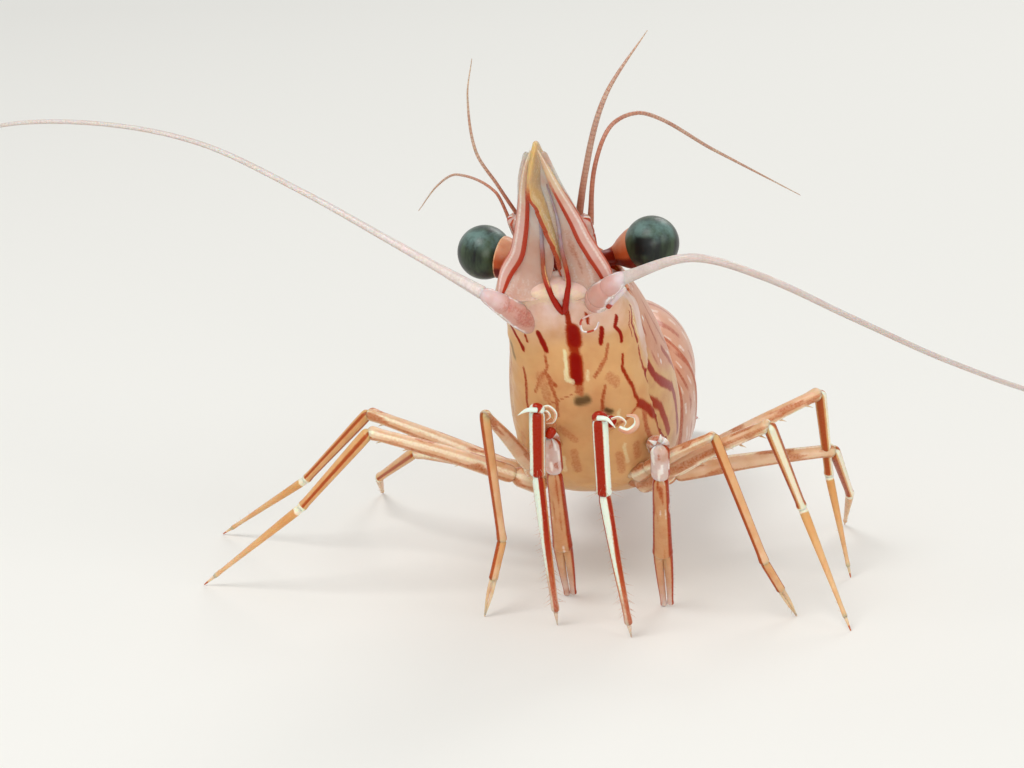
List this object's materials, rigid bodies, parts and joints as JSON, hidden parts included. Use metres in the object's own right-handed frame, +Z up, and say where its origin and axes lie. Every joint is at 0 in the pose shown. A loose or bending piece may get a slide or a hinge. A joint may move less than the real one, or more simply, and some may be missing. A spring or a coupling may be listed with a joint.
{
  "type": "hinge-beaked dancing shrimp",
  "caption": "Life-size still model of a dancing shrimp standing with its head raised, stalked dark green eyes, a long toothed beak, swept feelers and slender striped legs.",
  "frame": {"origin": "middle of the bounding box, on the floor that the leg tips stand on", "axes": "+Z up; the animal faces -Y; +X is the animal's left"},
  "size_m": [0.0964, 0.0446, 0.0325],
  "materials": {
    "shell": "smooth shell, pinkish orange with dark red lines and small pale spots",
    "flesh": "clear amber skin with dark red lines and dashes",
    "limb": "smooth red-orange shell with white stripes, paler at the tips",
    "feeler": "pale, nearly clear, finely ringed",
    "swimmeret": "thin, orange, fringed",
    "eyestalk": "smooth orange-red shell",
    "cornea": "wet, very dark green, finely facetted"
  },
  "bodies": {
    "root": {"carapace": "shell", "head": "flesh", "mouthparts": "flesh", "thorax": "flesh", "rostrum": "shell", "eye_right": "cornea", "eyestalk_right": "eyestalk", "eye_left": "cornea", "eyestalk_left": "eyestalk", "antennule_stem_right": "shell", "antennule_upper_right": "feeler", "antennule_outer_right": "feeler", "antennule_stem_left": "shell", "antennule_upper_left": "feeler", "antennule_outer_left": "feeler", "antenna_stem_right": "flesh", "antennal_scale_right": "shell", "antenna_whip_right_1": "feeler", "antenna_whip_right_2": "feeler", "antenna_whip_right_3": "feeler", "antenna_stem_left": "flesh", "antennal_scale_left": "shell", "antenna_whip_left_1": "feeler", "antenna_whip_left_2": "feeler", "antenna_whip_left_3": "feeler", "abdomen_2": "shell", "abdomen_1": "shell", "abdomen_3": "shell", "abdomen_4": "shell", "abdomen_5": "shell", "abdomen_6": "shell", "telson": "shell", "uropod_inner_right": "shell", "uropod_outer_right": "shell", "uropod_inner_left": "shell", "uropod_outer_left": "shell", "swimmeret_1_right": "swimmeret", "swimmeret_1_left": "swimmeret", "swimmeret_2_right": "swimmeret", "swimmeret_2_left": "swimmeret", "swimmeret_3_right": "swimmeret", "swimmeret_3_left": "swimmeret", "swimmeret_4_right": "swimmeret", "swimmeret_4_left": "swimmeret", "swimmeret_5_right": "swimmeret", "swimmeret_5_left": "swimmeret", "third_maxilliped_right": "limb", "third_maxilliped_left": "limb", "leg_1_right": "limb", "leg_1_left": "limb", "leg_2_right": "limb", "leg_2_left": "limb", "leg_3_right": "limb", "leg_3_left": "limb", "leg_4_right": "limb", "leg_4_left": "limb", "leg_5_right": "limb", "leg_5_left": "limb"}
  },
  "joints": []
}
